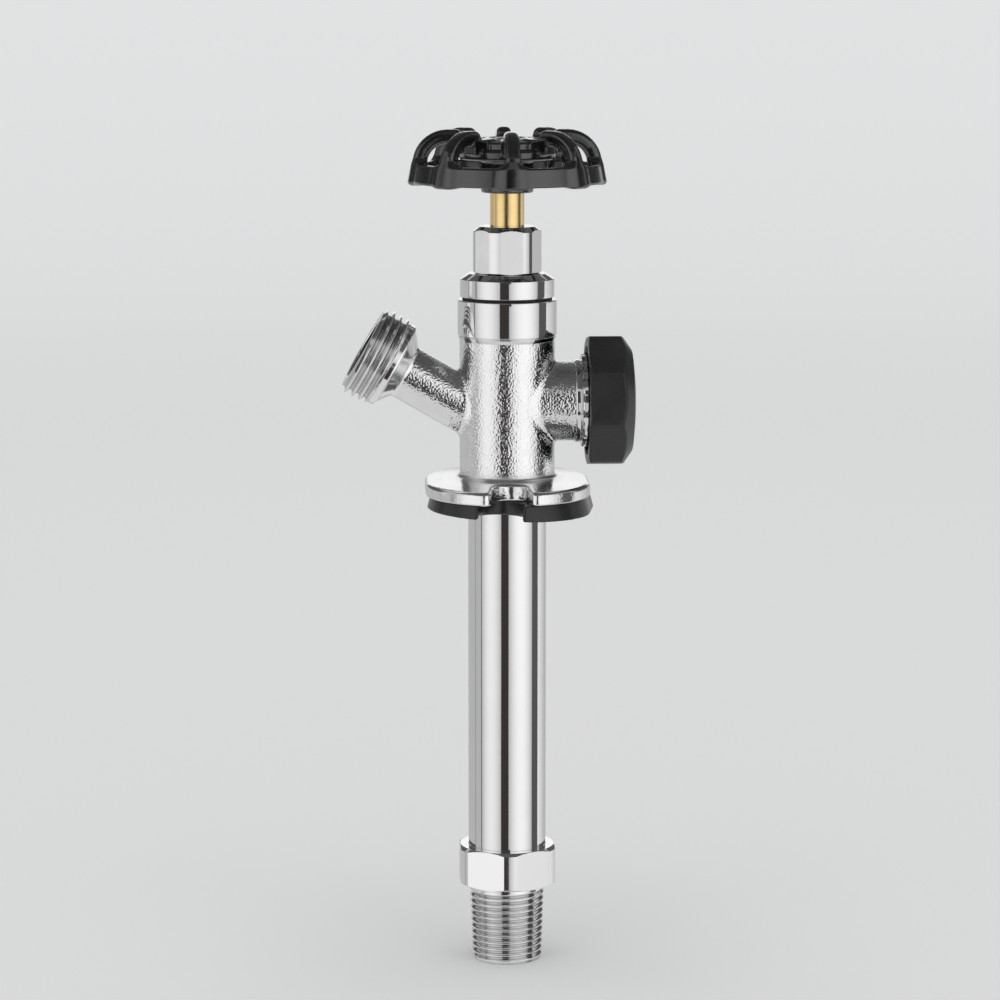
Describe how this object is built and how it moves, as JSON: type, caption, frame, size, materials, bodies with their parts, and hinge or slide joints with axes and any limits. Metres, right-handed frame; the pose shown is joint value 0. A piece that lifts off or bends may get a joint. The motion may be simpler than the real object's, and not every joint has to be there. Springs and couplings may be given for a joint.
{
  "type": "frost free sillcock",
  "caption": "Outdoor tap with a handwheel, slanted hose spout, capped vacuum breaker, wall flange on a wedge, and a long barrel that shuts off at a threaded inlet.",
  "frame": {"origin": "on the barrel axis, in the plane where the wedge meets the wall", "axes": "+Z along the barrel axis out to the handwheel, +X to the vacuum breaker cap, spout to -X"},
  "size_m": [0.0823, 0.0572, 0.239],
  "materials": {
    "cast_chrome": "bright plate over a sand cast skin",
    "polished_chrome": "polished plate",
    "black_plastic": "satin",
    "black_enamel": "gloss",
    "black_rubber": "matt",
    "grey_packing": "matt",
    "white_plastic": "satin",
    "brass": "turned",
    "steel": "plated"
  },
  "bodies": {
    "housing": {"valve_body": "cast_chrome", "wall_wedge": "black_plastic", "barrel_tube": "polished_chrome", "inlet_fitting": "polished_chrome", "bonnet": "polished_chrome", "bonnet_gasket": "black_rubber", "packing_nut": "polished_chrome", "stem_packing": "grey_packing", "gland_washer": "brass", "vent_gasket": "black_rubber", "vent_retainer": "brass", "vent_cap": "black_plastic"},
    "seat_carrier": {"washer_holder": "brass", "seat_washer": "black_rubber", "washer_screw": "brass"},
    "spindle": {"stem_head": "brass", "stem_ring": "black_rubber", "stem_rod": "brass", "swivel_pin": "steel", "handwheel": "black_enamel", "handle_screw": "steel"},
    "vent_poppet": {"vent_float": "white_plastic", "float_seal": "black_rubber"}
  },
  "joints": [
    {"name": "stem_lift", "type": "slide", "parent": "housing", "child": "seat_carrier", "axis": [0, 0, 1], "range_m": [0, 0.00635]},
    {"name": "handwheel_turn", "type": "hinge", "parent": "seat_carrier", "child": "spindle", "pos_m": [0, 0, 0.1], "axis": [0, 0, 1], "range_deg": [0, 720]},
    {"name": "float_slide", "type": "slide", "parent": "housing", "child": "vent_poppet", "axis": [1, 0, 0], "range_m": [0, 0.002]}
  ],
  "couplings": [
    {"joint": "handwheel_turn", "follows": "stem_lift", "rad_per_m": 1979}
  ]
}
